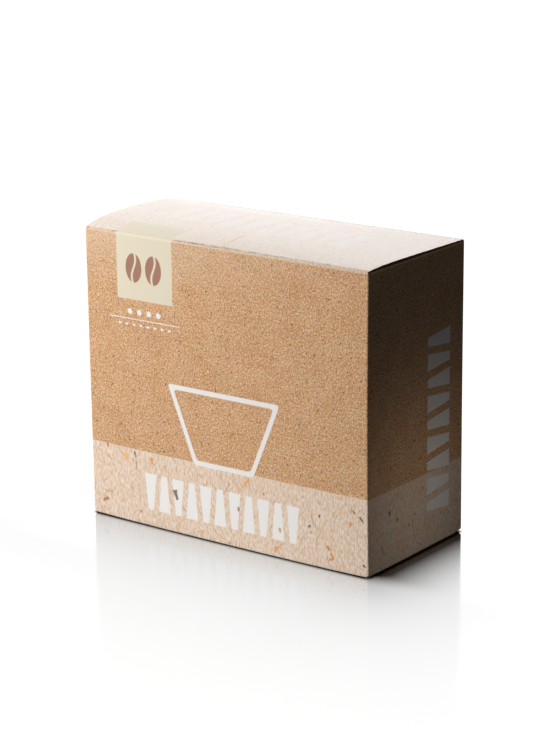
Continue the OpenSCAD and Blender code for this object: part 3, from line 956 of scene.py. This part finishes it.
cartonSheet = newSheet()
addPatch(cartonSheet, wallColumns(allStations, [wallFoot] + wallRows), settled)


def headPart(share):
    return lambda s: mix(board["frontSeam"], wallHead(s), share)


for places in (between(seamEnd, -frontEdge), between(frontEdge, backLeft + foldR)):
    addPatch(cartonSheet, wallColumns(places, [headPart(0), headPart(0.5), headPart(1)]), settled)

sideHead = board["seatHeight"] - foldR
taper = board["dustFlapTaper"]
# each flap: where it starts and ends, the height of its fold, whether that is at the top, its kind and tapers
for start, end, edge, upward, kind, tapers in (
        (halfWide + foldR, dustRight, sideHead, True, "dustFlap", (taper, 0.0)),
        (dustLeft, -halfWide - foldR, sideHead, True, "dustFlap", (0.0, taper)),
        (halfWide + foldR, backRight - foldR, board["sideFoot"], False, "sideFlap", (0.0, 0.0)),
        (wallStarts[0] + foldR, -halfWide - foldR, board["sideFoot"], False, "sideFlap", (0.0, 0.0)),
        (-longEdge, longEdge, board["frontFoot"], False, "longFlap", (0.0, 0.0)),
        (*longBack, board["backFoot"], False, "longFlap", (0.0, 0.0))):
    foldedFlap(cartonSheet, between(start, end), edge, upward, board[kind], board[kind + "Corner"], tapers)

# the glue flap goes on from the back panel, behind the left one
root = backLeft + foldR
rootHeights = [wallFoot(root)] + wallRows + [headPart(0.5)(root), headPart(1)(root)]
rootLow, rootHigh = rootHeights[0], rootHeights[-1]
glueRows = []
for z in rootHeights:
    row = []
    for k in range(5):
        reach = board["glueFlap"] * k / 4
        cut = reach * math.tan(math.radians(board["glueFlapSlope"]))
        height = mix(rootLow + cut, rootHigh - cut, (z - rootLow) / (rootHigh - rootLow))
        row.append(((*wallPoint(root + reach), height), (root + reach, height)))
    glueRows.append(row)
addPatch(cartonSheet, glueRows, settled)
cartonBoard = finishSheet(cartonSheet, "cartonBoard", board["thickness"])
print("carton board:", len(cartonBoard.data.polygons), "faces")


lid = {
    "hinge": (-38.25, 139.75),   # depth and height of the line that the lid turns about
    "length": 75.05, "halfWidth": 79.7,
    "bowLeft": 4.1, "bowRight": 1.1,   # height of the bow at the left and at the right edge
    "bowRise": 8,                # how steeply the bow goes up behind the front fold
    "bowFallLeft": 6.5, "bowFallRight": 1,   # and how late it comes down towards the back one
    "backFold": 0.65,            # radius of the back fold, in the middle of the board
    "swing": 75.7,               # radius of the arc that the tongue lies on and swings through
    "tongue": 16, "tongueInset": 1, "tongueTipInset": 3, "tongueCorner": 9,
    "tongueLevels": (3, 5),      # depths of the rows above its corners
    "seam": 2.5,                 # where the fold strip goes over into the lid
    "stripLevels": (0.9, 1.4, 1.9),   # the strip's rows before that
    "foldPlace": 0.5,            # on the blank, where the fold's round ends
    "columns": 48, "rows": 26, "stripSteps": 7,
}
halfBoard = board["lidThickness"] / 2


def bow(across, back):
    rise = 1 - (1 - back) ** lid["bowRise"]
    fall = 1 - back ** mix(lid["bowFallLeft"], lid["bowFallRight"], across)
    return mix(lid["bowLeft"], lid["bowRight"], across) * rise * fall


def lidPoint(across, reach):
    # the lid's outside on its panel, at a distance behind the hinge
    length, step = lid["length"], 0.01
    low, high = max(0, reach - step), min(length, reach + step)
    slope = (bow(across, high / length) - bow(across, low / length)) / (high - low)
    lean = math.atan(slope)
    return (lid["hinge"][0] + reach - halfBoard * math.sin(lean),
            lid["hinge"][1] + bow(across, reach / length) + halfBoard * math.cos(lean))


def lidRow(outline, halfWidth, height):
    # outline is a point's depth and height, and height its place on the blank: both may be functions of the
    # share across
    row = []
    for k in range(lid["columns"] + 1):
        across = k / lid["columns"]
        y, z = outline(across) if callable(outline) else outline
        x = halfWidth * (2 * across - 1)
        row.append(((x, y, z), (x, height(across) if callable(height) else height)))
    return row


def panelRow(reach):
    return lidRow(lambda across: lidPoint(across, reach), lid["halfWidth"], board["height"] + reach)


panelEnd = board["height"] + lid["length"]
lidRows = []
for k in range(lid["rows"] + 1):
    share = (1 - math.cos(math.pi * k / lid["rows"])) / 2
    lidRows.append(panelRow(mix(lid["seam"], lid["length"], share)))
hingeY, hingeZ = lid["hinge"]
for k in range(1, foldSteps + 1):
    turn = math.pi / 2 * k / foldSteps
    y = hingeY + lid["length"] + (lid["backFold"] + halfBoard) * math.sin(turn)
    z = hingeZ - lid["backFold"] + (lid["backFold"] + halfBoard) * math.cos(turn)
    lidRows.append(lidRow((y, z), lid["halfWidth"], panelEnd + turn * lid["backFold"]))
straight = lid["tongue"] - lid["tongueCorner"]
tongueRows = [(lid["backFold"] + lid["tongueInset"] / 2, lid["tongueInset"])]
tongueRows += [(d, mix(lid["tongueInset"], lid["tongueTipInset"], d / straight)) for d in lid["tongueLevels"]]
tip = roundTip(lid["tongue"], lid["tongueCorner"])
tongueRows += [(d, lid["tongueTipInset"] + drawnIn) for d, drawnIn in tip]
out = lid["swing"] + halfBoard
for depth, inset in tongueRows:
    turn = depth / lid["swing"]
    place = (hingeY + out * math.cos(turn), hingeZ - out * math.sin(turn))
    lidRows.append(lidRow(place, lid["halfWidth"] - inset, panelEnd + depth))
lidSheet = newSheet()
addPatch(lidSheet, lidRows)
lidBoard = finishSheet(lidSheet, "lidBoard", board["lidThickness"])

# the strip turns round the top fold: a bit of the front, a quarter round, and a bit of the lid
foldOffset = foldR - halfBoard


def foldLean(across):
    # the lid's slope where it leaves the fold
    near = 0.001
    return math.atan(bow(across, near) / (near * lid["length"]))


def foldMiddle(across):
    # height at which the front's outside begins to turn
    lean = foldLean(across)
    return hingeZ - foldOffset * (1 - math.sin(lean)) / math.cos(lean)


stripRows = []
for share in (0, 0.5, 1):
    stripRows.append(lidRow(
        lambda across, s=share: (-halfDeep, mix(board["frontSeam"], foldMiddle(across), s)), frontEdge,
        lambda across, s=share: mix(board["frontSeam"], foldMiddle(across), s)))
for k in range(1, lid["stripSteps"] + 1):
    def roundPoint(across, share=k / lid["stripSteps"]):
        turn = share * (math.pi / 2 - foldLean(across))
        return -halfDeep + foldR * (1 - math.cos(turn)), foldMiddle(across) + foldR * math.sin(turn)

    def roundPlace(across, share=k / lid["stripSteps"]):
        return mix(foldMiddle(across), board["height"] + lid["foldPlace"], share)

    stripRows.append(lidRow(roundPoint, mix(frontEdge, lid["halfWidth"], k / lid["stripSteps"]), roundPlace))
stripRows += [panelRow(reach) for reach in (*lid["stripLevels"], lid["seam"])]
stripSheet = newSheet()
addPatch(stripSheet, stripRows)
frontFold = finishSheet(stripSheet, "frontFold", board["lidThickness"])
print("lid and fold strip:", len(lidBoard.data.polygons) + len(frontFold.data.polygons), "faces")


filters = {
    "count": 100,
    "pitch": 0.7, "leafThickness": 0.52,
    "width": 152, "footWidth": 70, "height": 112.5,
    "floor": 1.5,         # height that the leaves stand at
    "seam": 5,            # width of the crimped seam at the sides
    "footSeam": 1 / 12,   # share of the height over which the plies part above the foot
    "pressed": 0.16,      # thickness where the two plies are crimped
    "mouthDepth": 1.4,    # depth of the gap between the two plies at the open top
    "sway": 0.35,         # degrees that a leaf leans to one side
    "shift": 0.5,         # sideways and upward disorder
    "seed": 7,
}


def makeLeaf():
    # one flat filter of two plies, joined at its sides and its foot and open at the top
    leaf = bmesh.new()
    layer = leaf.verts.layers.float_vector.new("leafPlace")
    columns, levels = 10, (0, 0.04, 0.35, 0.7, 0.95, 1)
    rings = [(level, 1) for level in levels] + [(None, 0)] + [(level, -1) for level in reversed(levels)]
    grid = []
    for level, ply in rings:
        line = []
        for k in range(columns + 1):
            share = 1 if level is None else level
            across = math.sin(math.pi / 2 * (2 * k / columns - 1))
            halfHere = mix(filters["footWidth"], filters["width"], share) / 2
            x, z = across * halfHere, share * filters["height"]
            fromEdge = halfHere - abs(x)
            loose = min(1, fromEdge / filters["seam"]) * min(1, share / filters["footSeam"])
            thick = mix(filters["pressed"], filters["leafThickness"], loose)
            if level is None:
                z -= filters["mouthDepth"] * min(1, fromEdge / filters["seam"])
            vert = leaf.verts.new((x * mm, -ply * thick / 2 * mm, (z + filters["floor"]) * mm))
            vert[layer] = (fromEdge, z, 0.0)
            line.append(vert)
        grid.append(line)
    for low, high in zip(grid, grid[1:]):
        for k in range(columns):
            leaf.faces.new((low[k], low[k + 1], high[k + 1], high[k]))
    first, last = grid[0], grid[-1]
    for k in range(columns):
        leaf.faces.new((last[k], last[k + 1], first[k + 1], first[k]))
    for k, turn in ((0, 1), (columns, -1)):
        for j in range(len(levels)):
            loop = [grid[j][k], grid[j + 1][k], grid[-1 - j][k]]
            if j < len(levels) - 1:
                loop.insert(2, grid[-2 - j][k])
            leaf.faces.new(loop[::turn])
    mesh = bpy.data.meshes.new("filterLeaf")
    leaf.to_mesh(mesh)
    leaf.free()
    return linkObject("filterLeaf", mesh)


leafObject = makeLeaf()
stackTree = bpy.data.node_groups.new("filterStack", "GeometryNodeTree")
stackTree.interface.new_socket("Geometry", in_out="OUTPUT", socket_type="NodeSocketGeometry")
sockets = {}
for name, kind, value in (
        ("Leaf", "Object", leafObject), ("Count", "Int", filters["count"]),
        ("Pitch", "Float", filters["pitch"] * mm), ("Shift", "Float", filters["shift"] * mm),
        ("Sway", "Float", math.radians(filters["sway"])), ("Seed", "Int", filters["seed"]),
        ("Paper", "Material", filterPaper)):
    socket = stackTree.interface.new_socket(name, in_out="INPUT", socket_type="NodeSocket" + kind)
    sockets[name] = (socket.identifier, value)
given = addNode(stackTree, "NodeGroupInput").outputs
reach = addNode(stackTree, times, [addNode(stackTree, minus, [given["Count"], 1.0]), given["Pitch"]])
first = addNode(stackTree, combined, [0.0, addNode(stackTree, times, [reach, -0.5]), 0.0])
each = addNode(stackTree, combined, [0.0, given["Pitch"], 0.0])
line = addNode(stackTree, "GeometryNodeMeshLine", {
    "Count": given["Count"], "Start Location": first, "Offset": each}, mode="OFFSET")
# each leaf is a little out of line sideways, upward and in its lean, and each of these has a seed of its own
disorder = []
for k, (least, size) in enumerate(((-0.5, "Shift"), (0.0, "Shift"), (-0.5, "Sway"))):
    seed = addNode(stackTree, plus, [given["Seed"], k])
    chance = addNode(stackTree, "FunctionNodeRandomValue", {"Seed": seed}, data_type="FLOAT")
    chance = addNode(stackTree, plus, [chance, least])
    disorder.append(addNode(stackTree, times, [chance, given[size]]))
offset = addNode(stackTree, combined, [disorder[0], 0.0, disorder[1]])
placed = addNode(stackTree, "GeometryNodeSetPosition", {"Geometry": line, "Offset": offset})
lean = addNode(stackTree, combined, [0.0, disorder[2], 0.0])
copied = addNode(stackTree, "GeometryNodeObjectInfo", {"Object": given["Leaf"]})
stacked = addNode(stackTree, "GeometryNodeInstanceOnPoints", {
    "Points": placed, "Instance": copied.outputs["Geometry"], "Rotation": lean})
real = addNode(stackTree, "GeometryNodeRealizeInstances", {"Geometry": stacked})
papered = addNode(stackTree, "GeometryNodeSetMaterial", {"Geometry": real, "Material": given["Paper"]})
addNode(stackTree, "NodeGroupOutput", [papered])

filterLeaves = linkObject("filterLeaves", bpy.data.meshes.new("filterLeaves"))
stackModifier = filterLeaves.modifiers.new("filterStack", "NODES")
stackModifier.node_group = stackTree
for identifier, value in sockets.values():
    stackModifier[identifier] = value
applyModifiers(filterLeaves)
bpy.data.objects.remove(leafObject)
print("filters:", len(filterLeaves.data.polygons), "faces")


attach(cartonBoard, "carton")
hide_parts("carton")
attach(filterLeaves, "carton")
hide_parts("filter_stack")
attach(lidBoard, "lid")
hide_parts("lid")
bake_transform(frontFold)
